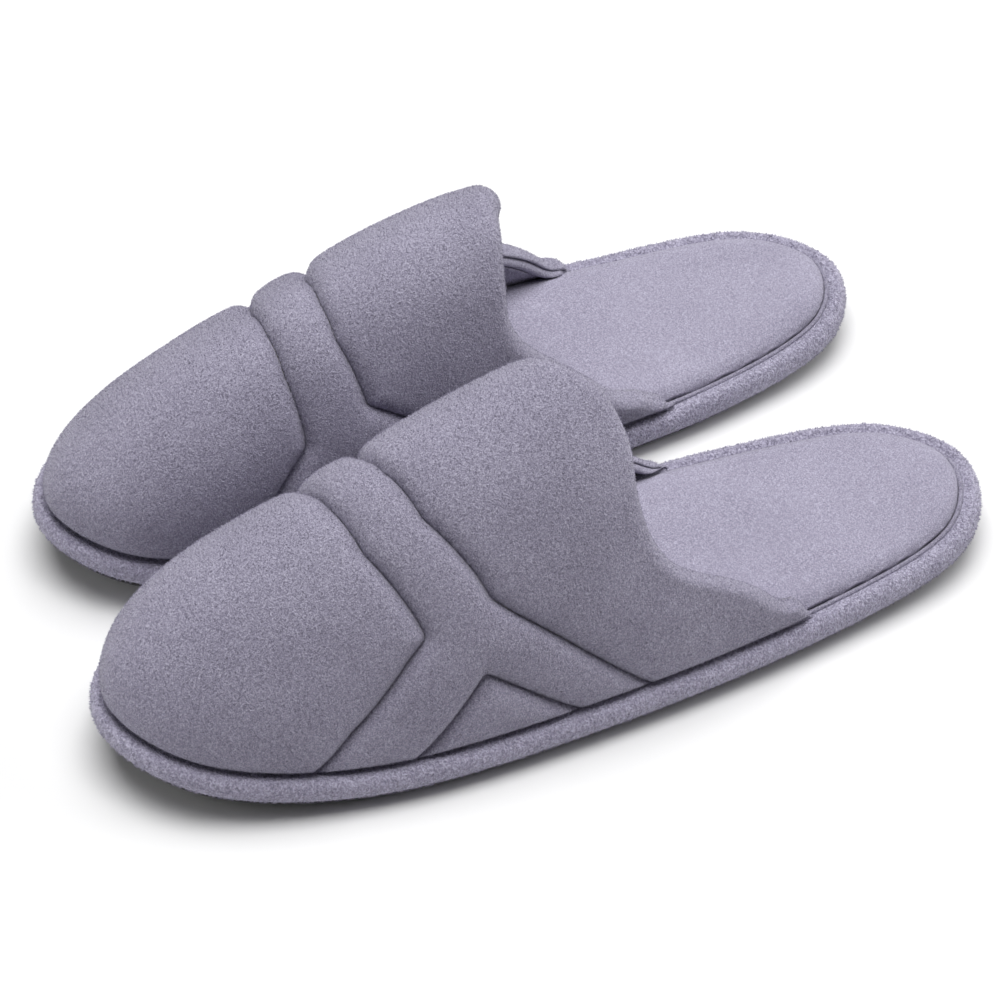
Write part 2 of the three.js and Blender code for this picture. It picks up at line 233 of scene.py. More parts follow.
def makeCamera():
    a, e, r = (math.radians(view[k]) for k in ("azimuth", "elevation", "roll"))
    back = Vector((math.sin(a) * math.cos(e), -math.cos(a) * math.cos(e), math.sin(e)))
    right = Vector((math.cos(a), math.sin(a), 0))
    up = back.cross(right)
    x = right * math.cos(r) + up * math.sin(r)
    y = up * math.cos(r) - right * math.sin(r)
    origin = places["left"][1]
    aim = Vector((origin[0] + view["aim"][0], origin[1] + view["aim"][1], view["aim"][2]))
    lens = bpy.data.cameras.new("camera")
    lens.lens = view["lens"]
    lens.sensor_width = 36
    lens.clip_start = 0.05
    lens.clip_end = 50
    camera = bpy.data.objects.new("camera", lens)
    place = Matrix((x, y, back)).transposed().to_4x4()
    place.translation = (aim + back * view["distance"]) * mm
    camera.matrix_world = place
    scene.collection.objects.link(camera)
    scene.camera = camera


makeCamera()
print("camera ready")


# Finishes: every one is a node material in the object's own coordinates, in metres.
class Sock:
    # wraps a socket, so that an expression on values adds its Math nodes
    def __init__(self, tree, socket):
        self.tree, self.socket = tree, socket

    def maths(self, operation, *values):
        return self.tree.node("ShaderNodeMath", {"operation": operation}, dict(enumerate(values)))[0]

    def __add__(self, other):
        return self.maths("ADD", self, other)

    def __sub__(self, other):
        return self.maths("SUBTRACT", self, other)

    def __rsub__(self, other):
        return self.maths("SUBTRACT", other, self)

    def __mul__(self, other):
        return self.maths("MULTIPLY", self, other)

    __radd__ = __add__
    __rmul__ = __mul__

    def clamped(self, low=0.0, high=1.0):
        return self.maths("MINIMUM", self.maths("MAXIMUM", self, low), high)


class Finish:
    # a material and its node tree
    def __init__(self, name):
        self.material = bpy.data.materials.new(name)
        self.material.use_nodes = True
        self.nodes = self.material.node_tree.nodes
        self.links = self.material.node_tree.links
        self.shader = self.nodes["Principled BSDF"]
        self.where = self.node("ShaderNodeTexCoord", {}, {})[3]

    def node(self, kind, settings, values):
        made = self.nodes.new(kind)
        for key, value in settings.items():
            if key == "stops":
                self.fillRamp(made.color_ramp, value)
            else:
                setattr(made, key, value)
        for key, value in values.items():
            self.feed(made.inputs[key], value)
        return [Sock(self, out) for out in made.outputs]

    def fillRamp(self, ramp, stops):
        while len(ramp.elements) < len(stops):
            ramp.elements.new(1.0)
        for element, (place, colour) in zip(ramp.elements, stops):
            element.position = place
            element.color = (*colour, 1.0)

    def feed(self, socket, value):
        if isinstance(value, Sock):
            self.links.new(value.socket, socket)
        else:
            socket.default_value = value

    def grain(self, scale, detail=2.0, rough=0.5, stretch=(1, 1, 1), warp=0.0):
        # noise of about 1/scale metres
        spot = self.node("ShaderNodeMapping", {}, {"Vector": self.where, "Scale": stretch})[0]
        return self.node(
            "ShaderNodeTexNoise", {},
            {"Vector": spot, "Scale": scale, "Detail": detail, "Roughness": rough, "Distortion": warp},
        )[0]

    def blendColours(self, factor, first, second):
        return self.node("ShaderNodeMix", {"data_type": "RGBA"}, {0: factor, 6: first, 7: second})[2]

    def bump(self, height, distance, strength=1.0):
        return self.node(
            "ShaderNodeBump", {}, {"Height": height, "Distance": distance, "Strength": strength},
        )[0]

    def put(self, **values):
        for key, value in values.items():
            self.feed(self.shader.inputs[key.replace("_", " ")], value)
        return self.material


def colour(r, g, b):
    # from screen values to linear ones
    return tuple((v / 255 / 12.92) if v < 11 else ((v / 255 + 0.055) / 1.055) ** 2.4 for v in (r, g, b))


fleece = {
    # painted shade between the fibres: the dark end of the speckle
    "paintedShade": colour(114, 110, 127),
    "body": colour(150, 146, 165),
    "tip": colour(187, 183, 201),
    "sheen": 0.25,
}


def makeFleece(name, lift=1.0, grainSize=1.0, relief=0.00045):
    # short brushed nap: fine speckle of the fleece's own tones with painted shade between the fibres at its
    # dark end, soft patches where it has been stroked
    made = Finish(name)
    fine = made.grain(2600 / grainSize, 2.0, 0.6)
    clumps = made.grain(1300 / grainSize, 2.0, 0.55)
    patches = made.grain(38, 2.0, 0.5)
    speckle = (fine * 0.6 + clumps * 0.4 + (patches - 0.5) * 0.12).clamped()
    tint = made.node(
        "ShaderNodeValToRGB",
        {"stops": [
            (0.30, tuple(v * lift for v in fleece["paintedShade"])),
            (0.50, tuple(v * lift for v in fleece["body"])),
            (0.70, tuple(v * lift for v in fleece["tip"])),
        ]},
        {"Fac": speckle},
    )[0]
    height = fine * 0.4 + clumps * 0.6
    return made.put(
        Base_Color=tint,
        Roughness=(speckle * -0.12 + 0.98).clamped(),
        Normal=made.bump(height, relief),
        Sheen_Weight=fleece["sheen"],
        Sheen_Roughness=0.45,
        Specular_IOR_Level=0.15,
    )


def makeNap(name, lift=1.0):
    # loose fibre tips: lighter than the ground, in small tufts
    made = Finish(name)
    tufts = made.grain(1000, 2.0, 0.6)
    patches = made.grain(38, 2.0, 0.5)
    # the ramp's dark end is the same painted shade between the fibres
    tint = made.node(
        "ShaderNodeValToRGB",
        {"stops": [
            (0.30, tuple(v * lift for v in fleece["paintedShade"])),
            (0.48, tuple(v * lift for v in fleece["body"])),
            (0.68, tuple(v * lift for v in fleece["tip"])),
        ]},
        {"Fac": (tufts * 0.8 + 0.1 + (patches - 0.5) * 0.12).clamped()},
    )[0]
    return made.put(Base_Color=tint, Roughness=0.95, Sheen_Weight=fleece["sheen"], Specular_IOR_Level=0.1)


def makeRubber():
    made = Finish("blown rubber")
    pores = made.grain(1800, 3.0, 0.6)
    scuffs = made.grain(60, 4.0, 0.6)
    dust = (scuffs - 0.45).clamped() * 2
    tint = made.blendColours(dust.clamped(), (0.006, 0.006, 0.007, 1), (0.022, 0.021, 0.021, 1))
    return made.put(
        Base_Color=tint,
        Roughness=(pores * 0.2 + 0.55).clamped(),
        Normal=made.bump(pores, 0.0001),
    )


def makeFoam(name, dark, light, pore):
    made = Finish(name)
    cells = made.node(
        "ShaderNodeTexVoronoi", {"feature": "F1"}, {"Vector": made.where, "Scale": pore},
    )[0]
    age = made.grain(25, 3.0, 0.5)
    tint = made.blendColours((cells * 0.8 + age * 0.4 - 0.1).clamped(), (*dark, 1), (*light, 1))
    return made.put(
        Base_Color=tint, Roughness=(cells * 0.1 + 0.85).clamped(), Normal=made.bump(cells, 0.0002),
    )


def makeBoard():
    made = Finish("fibre board")
    fibres = made.grain(300, 4.0, 0.7, (1, 0.15, 1))
    flecks = made.grain(900, 2.0, 0.6)
    tint = made.blendColours(
        (fibres * 0.7 + flecks * 0.3).clamped(), (*colour(126, 101, 70), 1), (*colour(186, 160, 122), 1),
    )
    return made.put(
        Base_Color=tint, Roughness=(flecks * 0.2 + 0.7).clamped(), Normal=made.bump(fibres, 0.00008),
    )


finishes = {
    "fleece": makeFleece("lavender fleece"),
    "wrap": makeFleece("looped fleece", 1.25, 1.5, 0.001),
    "lining": makeFleece("lining fleece", 0.95),
    "insole": makeFleece("plush insole fleece", 1.12, 0.8, 0.0003),
    "nap": makeNap("fleece nap"),
    "wrapNap": makeNap("looped nap", 1.25),
    "insoleNap": makeNap("insole nap", 1.12),
    "rubber": makeRubber(),
    "midsole": makeFoam("midsole foam", colour(196, 190, 178), colour(233, 229, 220), 1400),
    "cushion": makeFoam("cushion foam", colour(205, 196, 170), colour(238, 232, 212), 700),
    "board": makeBoard(),
}
print("finishes ready")


# Plain meshes
def makePiece(name, points, faces, side, finish, nodes):
    # a finished mesh in the frame; the right slipper's is the mirror image
    points = toFrame(points, side)
    faces = [f[::-1] for f in faces] if side == "right" else faces
    mesh = bpy.data.meshes.new(name)
    mesh.from_pydata(points.tolist(), [], faces if isinstance(faces, list) else faces.tolist())
    mesh.validate()
    mesh.polygons.foreach_set("use_smooth", np.ones(len(mesh.polygons), bool))
    mesh.materials.append(finishes[finish])
    piece = bpy.data.objects.new(side + "_" + name, mesh)
    scene.collection.objects.link(piece)
    claim(piece, side, nodes)
    return piece


counts = {}


def claim(piece, side, nodes=()):
    counts[piece.name] = sum(len(face.vertices) - 2 for face in piece.data.polygons)
    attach(piece, side + "_slipper")
    if nodes:
        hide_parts(*[side + "_" + node for node in nodes])


# Nap: short fibres standing on a piece's outer face
nap = {"perSquareMetre": 1.9e6, "length": 0.00048, "thickness": 0.00012, "lean": 0.55, "seed": 7}


def newTree(name, inputs):
    tree = bpy.data.node_groups.new(name, "GeometryNodeTree")
    tree.interface.new_socket("Geometry", in_out="INPUT", socket_type="NodeSocketGeometry")
    tree.interface.new_socket("Geometry", in_out="OUTPUT", socket_type="NodeSocketGeometry")
    for label, kind in inputs:
        tree.interface.new_socket(label, in_out="INPUT", socket_type="NodeSocket" + kind)
    start, end = tree.nodes.new("NodeGroupInput"), tree.nodes.new("NodeGroupOutput")

    def add(kind, settings=(), **values):
        made = tree.nodes.new(kind)
        for key, value in dict(settings).items():
            setattr(made, key, value)
        for key, value in values.items():
            socket = made.inputs[int(key[1:]) if key[0] == "_" else key.replace("0", " ")]
            if isinstance(value, bpy.types.NodeSocket):
                tree.links.new(value, socket)
            else:
                socket.default_value = value
        return made.outputs

    return tree, start.outputs, end.inputs, add


def makeNapTree():
    tree, given, result, add = newTree("nap", [
        ("Density", "Float"), ("Length", "Float"), ("Thickness", "Float"), ("Lean", "Float"), ("Seed", "Int"),
        ("Finish", "Material"),
    ])
    spread = add("GeometryNodeDistributePointsOnFaces", {"distribute_method": "RANDOM"},
                 Mesh=given["Geometry"], Density=given["Density"], Seed=given["Seed"])
    fibre = add("GeometryNodeMeshCone", {"fill_type": "NGON"}, Vertices=3, Depth=given["Length"],
                Radius0Bottom=given["Thickness"], Radius0Top=0.0)
    leans = add("FunctionNodeRandomValue", {"data_type": "FLOAT_VECTOR"},
                _0=(-1.0, -1.0, -3.1416), _1=(1.0, 1.0, 3.1416), _8=given["Seed"])[0]
    scaled = add("ShaderNodeVectorMath", {"operation": "SCALE"}, _0=leans, _3=given["Lean"])[0]
    tilt = add("FunctionNodeEulerToRotation", Euler=scaled)[0]
    turned = add("FunctionNodeRotateRotation", {"rotation_space": "LOCAL"}, _0=spread["Rotation"], _1=tilt)[0]
    size = add("FunctionNodeRandomValue", {"data_type": "FLOAT"}, _2=0.55, _3=1.25, _8=given["Seed"])[1]
    stood = add("GeometryNodeInstanceOnPoints", Points=spread["Points"], Instance=fibre["Mesh"],
                Rotation=turned, Scale=size)
    real = add("GeometryNodeRealizeInstances", Geometry=stood["Instances"])
    painted = add("GeometryNodeSetMaterial", Geometry=real["Geometry"], Material=given["Finish"])
    tree.links.new(painted["Geometry"], result["Geometry"])
    return tree


def grow(name, base, tree, values):
    # runs a tree on a base mesh and returns what it makes as a plain object
    holder = bpy.data.objects.new(name + "_base", base)
    scene.collection.objects.link(holder)
    modifier = holder.modifiers.new(name, "NODES")
    modifier.node_group = tree
    for socket in tree.interface.items_tree:
        if socket.in_out == "INPUT" and socket.name in values:
            modifier[socket.identifier] = values[socket.name]
    holder.update_tag()
    bpy.context.view_layer.update()
    evaluated = holder.evaluated_get(bpy.context.evaluated_depsgraph_get())
    mesh = bpy.data.meshes.new_from_object(evaluated)
    bpy.data.objects.remove(holder, do_unlink=True)
    mesh.name = name
    piece = bpy.data.objects.new(name, mesh)
    scene.collection.objects.link(piece)
    return piece


def plainMesh(name, points, faces, side):
    faces = faces if isinstance(faces, list) else faces.tolist()
    faces = [f[::-1] for f in faces] if side == "right" else faces
    mesh = bpy.data.meshes.new(name)
    mesh.from_pydata(toFrame(points, side).tolist(), [], faces)
    return mesh


napTree = makeNapTree()
napCount = [nap["seed"]]


def growNap(name, points, faces, side, finish, size=1.0):
    napCount[0] += 1
    thin = 1.0
    piece = grow(side + "_" + name + "_nap", plainMesh(name, points, faces, side), napTree, {
        "Density": nap["perSquareMetre"] * thin / size, "Length": nap["length"] * size,
        "Thickness": nap["thickness"] * size, "Lean": nap["lean"], "Seed": napCount[0],
        "Finish": finishes[finish],
    })
    mesh = piece.data
    if not mesh.materials:
        mesh.materials.append(finishes[finish])
    spots = np.empty(len(mesh.vertices) * 3)
    mesh.vertices.foreach_get("co", spots)
    spots = spots.reshape(-1, 3)
    flat = np.stack([spots[:, 0] + 0.35 * spots[:, 2], spots[:, 1] + 0.35 * spots[:, 2]], axis=1)
    flat = (flat - flat.min(0)) / np.ptp(flat, axis=0)
    loops = np.empty(len(mesh.loops), int)
    mesh.loops.foreach_get("vertex_index", loops)
    layer = mesh.uv_layers.new(name="OFBake")
    layer.uv.foreach_set("vector", flat[loops].astype(np.float32).ravel())
    claim(piece, side)
    return piece


# Sole: rubber below, foam and board inside
platform = {"around": 360, "bevel": 0.8, "inset": 3.0, "treadDepth": 1.0, "boardInset": 9.6}


def plateMesh(edge, shrinks=(0.86, 0.7, 0.5, 0.3, 0.12)):
    # rings from the middle of the underside, round the edge, to the middle of the top
    count = platform["around"]
    t = np.arange(count) / count
    first, last = edge[0], edge[-1]
    rings = []
    for inset, height, shrink in (
        [(first[0], first[1], s) for s in shrinks[::-1]]
        + [(inset, height, 1) for inset, height in edge]
        + [(last[0], last[1], s) for s in shrinks]
    ):
        ring = edgePoints(t, inset, 0)
        centre = (sole["outer"][2] - sole["inner"][2]) / 2
        ring[:, 0] = centre + (ring[:, 0] - centre) * shrink
        ring[:, 1] *= shrink
        ring[:, 2] = height + springAt(ring[:, 1])
        rings.append(ring)
    points = np.concatenate(rings)
    faces = []
    for r in range(len(rings) - 1):
        for k in range(count):
            n = (k + 1) % count
            faces.append([r * count + k, r * count + n, (r + 1) * count + n, (r + 1) * count + k])
    bottom, top = len(points), len(points) + 1
    ends = [rings[0].mean(0), rings[-1].mean(0)]
    for k in range(count):
        n = (k + 1) % count
        faces.append([bottom, n, k])
        faces.append([top, (len(rings) - 1) * count + k, (len(rings) - 1) * count + n])
    return np.concatenate([points, ends]), faces


tread = {"pitch": 6.4, "radius": 2.4, "sides": 6, "inset": 9.0}


def makeTreadTree():
    tree, given, result, add = newTree("tread", [
        ("Radius", "Float"), ("Depth", "Float"), ("Sides", "Int"), ("Finish", "Material"),
    ])
    block = add("GeometryNodeMeshCylinder", {"fill_type": "NGON"}, Vertices=given["Sides"],
                Radius=given["Radius"], Depth=given["Depth"])
    spots = add("GeometryNodeMeshToPoints", {"mode": "VERTICES"}, Mesh=given["Geometry"])
    stood = add("GeometryNodeInstanceOnPoints", Points=spots[0], Instance=block["Mesh"])
    real = add("GeometryNodeRealizeInstances", Geometry=stood["Instances"])
    painted = add("GeometryNodeSetMaterial", Geometry=real["Geometry"], Material=given["Finish"])
    tree.links.new(painted["Geometry"], result["Geometry"])
    return tree


treadTree = makeTreadTree()


def makeTread(side):
    # low six-sided blocks under the outsole, on a staggered grid inside its edge
    loop = edgePoints(np.arange(720) / 720, tread["inset"], 0)
    spots = []
    for row in range(-24, 25):
        y = row * tread["pitch"] * math.sqrt(3) / 2
        if not loop[:, 1].min() < y < loop[:, 1].max():
            continue
        ends = [
            np.interp(y, *(half[np.argsort(half[:, 1])][:, k] for k in (1, 0)))
            for half in (loop[loop[:, 0] < 0], loop[loop[:, 0] >= 0])
        ]
        for step in range(-12, 13):
            x = (step + row % 2 / 2) * tread["pitch"]
            if ends[0] < x < ends[1]:
                spots.append([x, y, platform["treadDepth"] / 2 + 0.1 + float(springAt(y))])
    depth = (platform["treadDepth"] + 0.2) * mm
    piece = grow(side + "_tread", plainMesh("tread", np.array(spots), [], side), treadTree, {
        "Radius": tread["radius"] * mm, "Depth": depth, "Sides": tread["sides"], "Finish": finishes["rubber"],
    })
    if not piece.data.materials:
        piece.data.materials.append(finishes["rubber"])
    claim(piece, side)
    return piece


def makeSole(side):
    lift = platform["treadDepth"]
    makeTread(side)
    inset, bevel = platform["inset"], platform["bevel"]
    points, faces = plateMesh([
        (inset + bevel, lift), (inset + bevel / 3, lift + 0.25), (inset, lift + bevel), (inset, 2.9),
        (3.2, stack["outsoleTop"]),
    ])
    makePiece("outsole", points, faces, side, "rubber", ["outsole"])
    points, faces = plateMesh([
        (2.8, stack["midsoleBottom"]), (2.4, stack["midsoleBottom"] + 0.4),
        (2.4, stack["midsoleTop"] - 0.4), (2.8, stack["midsoleTop"]),
    ])
    makePiece("midsole", points, faces, side, "midsole", ["midsole"])
    inset = platform["boardInset"]
    points, faces = plateMesh([(inset, stack["boardBottom"]), (inset, stack["boardTop"])])
    makePiece("insole_board", points, faces, side, "board", ["insole_board"])


wrap = {
    "around": 720,
    "section": [  # inset and height of the fabric's outer face, from the feather seam to the flange's edge
        (9.0, 10.0), (6.5, 10.05), (4.6, 10.1), (3.5, 10.35), (2.6, 10.5), (1.7, 10.25), (0.85, 9.6),
        (0.25, 8.6), (0.0, 7.4), (0.05, 6.2), (0.45, 5.0), (1.2, 4.1), (2.3, 3.6), (4.0, 3.5), (8.0, 3.5),
        (12.0, 3.5),
    ],
    "thickness": 1.1,
    "crown": 1.0,  # the wrap stands plumper where no upper holds it down
    "crownAt": 3.4,
    "crownWidth": 2.6,
}


def makeWrap(side):
    outer = curvePoint(wrap["section"], np.linspace(0, 1, 46))
    along = unit(np.gradient(outer, axis=0))
    inner = outer + np.stack([-along[:, 1], along[:, 0]], axis=1) * wrap["thickness"]
    ring = np.concatenate([outer, inner[::-1]])
    count, size = wrap["around"], len(ring)
    t = np.arange(count) / count
    points = np.stack([edgePoints(t, inset, height) for inset, height in ring], axis=1)
    hump = np.exp(-(((ring[:, 0] - wrap["crownAt"]) / wrap["crownWidth"]) ** 2)) * (ring[:, 1] > 8.6)
    opened = smooth(points[:, 0, 1], 46.0, 66.0)
    points[..., 2] += hump[None, :] * opened[:, None] * wrap["crown"]
    wobble = np.array([noise.noise(Vector(p / 14.0)) for p in points[:, 20]])
    points[:, 12:28, 2] += (wobble * 0.2)[:, None]
    index = np.arange(count * size).reshape(count, size)
    a, b = index, np.roll(index, -1, axis=0)
    quads = np.stack([a, np.roll(a, -1, axis=1), np.roll(b, -1, axis=1), b], axis=-1)
    seen = quads[:, 2:34].reshape(-1, 4)  # the stretch from the insole's groove to the underside
    growNap("platform_wrap", points.reshape(-1, 3), seen, side, "wrapNap", 1.3)
    quads = quads.reshape(-1, 4).tolist()
    makePiece("platform_wrap", points.reshape(-1, 3), quads, side, "wrap", ["platform_wrap"])


# Upper: one fine sheet over the foot, cut along its seams into panels
upper = {
    "along": 330,
    "climb": 112,
    "lip": 10,
    "rollRadius": 3.7,  # of the turned edge round the foot opening
    "rollTurn": 112.0,
    "seamWidth": 0.16,
    "edgeRadius": 4.4,  # rounding of a panel beside its seam
    "edgeDrop": 2.4,
    "swell": 1.6,  # crown of a panel between its seams
    "swellRun": 14.0,
    "thickness": 1.3,
    "padding": 7.0,  # panel, foam and lining together
}
lining = {"thickness": 0.8}


def lineOnUpper(line, count=800, soft=9):
    # straight runs with slightly rounded corners
    dense = evenly(np.array(line, float), count)
    padded = np.concatenate([dense[:1]] * soft + [dense] + [dense[-1:]] * soft)
    window = np.hanning(2 * soft + 3)[1:-1]
    window /= window.sum()
    dense = np.stack([np.convolve(padded[:, k], window, "valid") for k in (0, 1)], axis=1)
    return upperPoint(planOf(dense[:, 0], np.clip(dense[:, 1], -90, 90))), dense


def distanceTo(points, line):
    # how far each point is from a line, measured to its nearest stretch
    line = evenly(line, 1500)
    tree = KDTree(len(line))
    for index, spot in enumerate(line):
        tree.insert(spot, index)
    tree.balance()
    near = [tree.find_n(spot, 2) for spot in points.tolist()]
    first = line[[n[0][1] for n in near]]
    second = line[[n[1][1] for n in near]]
    way = second - first
    size = np.maximum((way * way).sum(1), 1e-12)
    share = np.clip(((points - first) * way).sum(1) / size, 0, 1)
    return np.linalg.norm(points - first - way * share[:, None], axis=1)


class Upper:
    # a sheet with its distances to every seam; its last columns roll over the rim
    def __init__(self, along, climb, lip=0):
        ends = rimLine[0][0], rimLine[-1][0]
        outer = seamSides[1][seamSides[1][:, 1] <= ends[0]][::-1]
        inner = seamSides[-1][seamSides[-1][:, 1] <= ends[1]]
        foot = evenly(np.concatenate([outer, inner])[:, :2], along + 1)
        marks = np.array(rimLine, float)
        rim = evenly(curvePoint(planOf(marks[:, 0], marks[:, 1]), np.linspace(0, 1, 2000)), along + 1)
        share = 1 - np.cos(np.linspace(0, 1, climb + 1) * math.pi / 2)
        self.plan = foot[:, None] * (1 - share[None, :, None]) + rim[:, None] * share[None, :, None]
        self.rows, self.main = along + 1, climb + 1
        self.points = upperPoint(self.plan)
        self.angle = angleOf(self.plan)
        self.normal = self.normals(self.points)
        self.rise = np.linalg.norm(self.points[:, -1] - self.points[:, 0], axis=1)
        self.rollRim(lip)
        self.columns = self.points.shape[1]
        self.seams = {}
        flat = self.points.reshape(-1, 3)
        y, angle = self.plan[..., 1].ravel(), self.angle.ravel()
        for name, line in (("toe", toeCapLine), ("vamp", vampLine)):
            near, dense = lineOnUpper(line)
            order = np.argsort(dense[:, 1])
            side = np.where(y > np.interp(angle, dense[order, 1], dense[order, 0]), 1, -1)
            self.seams[name] = distanceTo(flat, near) * side
        for name, line in (("outerGusset", outerGussetLine), ("innerGusset", innerGussetLine)):
            near, dense = lineOnUpper(line)
            reach = np.interp(y, dense[:, 0], np.abs(dense[:, 1]), left=90, right=90)
            ours = (angle > 0) == (name == "outerGusset")
            side = np.where(ours & (np.abs(angle) > reach), 1, -1)
            self.seams[name] = distanceTo(flat, near) * side
        foot = distanceTo(flat, self.points[:, 0])
        self.rim = distanceTo(flat, self.points[:, self.main - 1])
        every = [np.abs(d) for d in self.seams.values()]
        self.edge = np.minimum.reduce(every + [foot])

    def rollRim(self, count):
        # the outer fabric turns over the edge of the padding, less and less towards the collar's ends
        out = self.normal[:, -1]
        climb = unit(self.points[:, -1] - self.points[:, -2])
        climb = unit(climb - out * (climb * out).sum(1, keepdims=True))
        self.climbWay = climb
        self.taper = 0.25 + 0.75 * smooth(self.rise, 0.0, 15.0)
        self.roll = (upper["rollRadius"] * self.taper)[:, None]
        base = self.points[:, -1]
        turns = np.radians(np.linspace(0, upper["rollTurn"], count + 1)[1:])
        extra, ways = [], []
        for turn in turns:
            extra.append(base + climb * self.roll * math.sin(turn) - out * self.roll * (1 - math.cos(turn)))
            ways.append(out * math.cos(turn) + climb * math.sin(turn))
        if count:
            self.points = np.concatenate([self.points, np.stack(extra, axis=1)], axis=1)
            self.normal = np.concatenate([self.normal, np.stack(ways, axis=1)], axis=1)
            self.plan = np.concatenate([self.plan] + [self.plan[:, -1:]] * count, axis=1)
            self.angle = np.concatenate([self.angle] + [self.angle[:, -1:]] * count, axis=1)

    def normals(self, points):
        climbing = np.gradient(points, axis=1)
        along = np.gradient(points, axis=0)
        return unit(np.cross(climbing, along))


def standsOut(edge):
    # how far the fabric stands out from the plain arch, at a distance from the nearest seam
    near = np.clip(edge / upper["edgeRadius"], 0, 1)
    rounding = -upper["edgeDrop"] * (1 - near) ** 2.5
    crown = upper["swell"] * (1 - np.exp(-edge / upper["swellRun"] * 2))
    return rounding + crown


def cutAway(points, faces, field, extras):
    # keeps the part of a triangle mesh where the field is above zero
    inside = field > 0
    kept = faces[inside[faces].all(1)]
    mixed = faces[inside[faces].any(1) & ~inside[faces].all(1)]
    made, cuts = [], {}
    pointList, extraList = [], []

    def cut(a, b):
        key = (a, b) if a < b else (b, a)
        if key not in cuts:
            w = field[a] / (field[a] - field[b])
            cuts[key] = len(points) + len(pointList)
            pointList.append(points[a] * (1 - w) + points[b] * w)
            extraList.append(extras[a] * (1 - w) + extras[b] * w)
        return cuts[key]

    for face in mixed:
        turn = [k for k in range(3) if inside[face[k]] and not inside[face[k - 1]]][0]
        a, b, c = face[turn], face[(turn + 1) % 3], face[(turn + 2) % 3]
        if inside[b]:
            low, high = cut(b, c), cut(a, c)
            made += [[a, b, low], [a, low, high]]
        else:
            made.append([a, cut(a, b), cut(a, c)])
    if pointList:
        points = np.concatenate([points, pointList])
        extras = np.concatenate([extras, extraList])
    faces = np.concatenate([kept, np.array(made, int).reshape(-1, 3)])
    used = np.unique(faces)
    back = np.full(len(points), -1)
    back[used] = np.arange(len(used))
    return points[used], back[faces], extras[used], used >= len(field)


def closedBody(outer, inner, faces):
    # an outer face, an inner face and the wall between them round every open edge
    count = len(outer)
    edges = np.concatenate([faces[:, [0, 1]], faces[:, [1, 2]], faces[:, [2, 0]]])
    codes = edges[:, 0] * count + edges[:, 1]
    mates = edges[:, 1] * count + edges[:, 0]
    border = edges[~np.isin(codes, mates)]
    walls = [[b, a, a + count, b + count] for a, b in border.tolist()]
    return np.concatenate([outer, inner]), faces.tolist() + (faces[:, ::-1] + count).tolist() + walls


def trianglesOf(rows, columns):
    # two triangles in every cell of a grid stored row by row
    a = np.arange(rows - 1)[:, None] * columns + np.arange(columns - 1)[None, :]
    b = a + columns
    quads = np.stack([a + 1, b + 1, b, a], axis=-1).reshape(-1, 4)
    return np.concatenate([quads[:, [0, 1, 2]], quads[:, [0, 2, 3]]])


cloth = {
    "along": 96,
    "climb": 34,
    "pressure": 4.0,
    "cap": 1.6,  # how far a point of the pad may move
    "frames": 20,
    "slack": 0.02,
    "share": 0.8,  # of the cloth's bulges that the fine sheet takes
    "seed": 11,
}


def spreadOut(values, reach):
    # evens a grid out with its neighbours, so only the broad bulges stay
    window = np.hanning(reach + 2)[1:-1]
    window /= window.sum()
    for axis in (0, 1):
        pad = [(reach // 2, reach // 2) if a == axis else (0, 0) for a in (0, 1)]
        values = np.apply_along_axis(np.convolve, axis, np.pad(values, pad, "edge"), window, "valid")
    return values


def puffUp(points, faces, held, seed, settings):
    # blows a closed pad up as cloth and returns how far each point moved
    rng = np.random.default_rng(seed)
    mesh = bpy.data.meshes.new("pad")
    start = points + rng.normal(0, 0.12, points.shape) * (1 - held)[:, None]
    mesh.from_pydata((start * mm).tolist(), [], faces)
    pad = bpy.data.objects.new("pad", mesh)
    scene.collection.objects.link(pad)
    group = pad.vertex_groups.new(name="held")
    for index in np.nonzero(held > 0.01)[0].tolist():
        group.add([index], float(held[index]), "REPLACE")
    modifier = pad.modifiers.new("cloth", "CLOTH")
    fabric = modifier.settings
    fabric.quality = 6
    fabric.mass = 0.15
    fabric.tension_stiffness = 12
    fabric.compression_stiffness = 12
    fabric.shear_stiffness = 6
    fabric.bending_stiffness = 0.6
    fabric.use_pressure = True
    fabric.uniform_pressure_force = settings["pressure"]
    fabric.shrink_min = -settings["slack"]
    fabric.vertex_group_mass = "held"
    fabric.pin_stiffness = 5
    fabric.effector_weights.gravity = 0
    modifier.collision_settings.use_collision = False
    modifier.point_cache.frame_start = 1
    modifier.point_cache.frame_end = settings["frames"]
    for step in range(1, settings["frames"] + 1):
        scene.frame_set(step)
    evaluated = pad.evaluated_get(bpy.context.evaluated_depsgraph_get())
    moved = np.empty(len(points) * 3)
    evaluated.data.vertices.foreach_get("co", moved)
    moved = moved.reshape(-1, 3) / mm - points
    bpy.data.objects.remove(pad, do_unlink=True)
    bpy.data.meshes.remove(mesh)
    scene.frame_set(1)
    size = np.linalg.norm(moved, axis=1, keepdims=True)
    return moved * np.minimum(1, settings["cap"] / np.maximum(size, 1e-6))


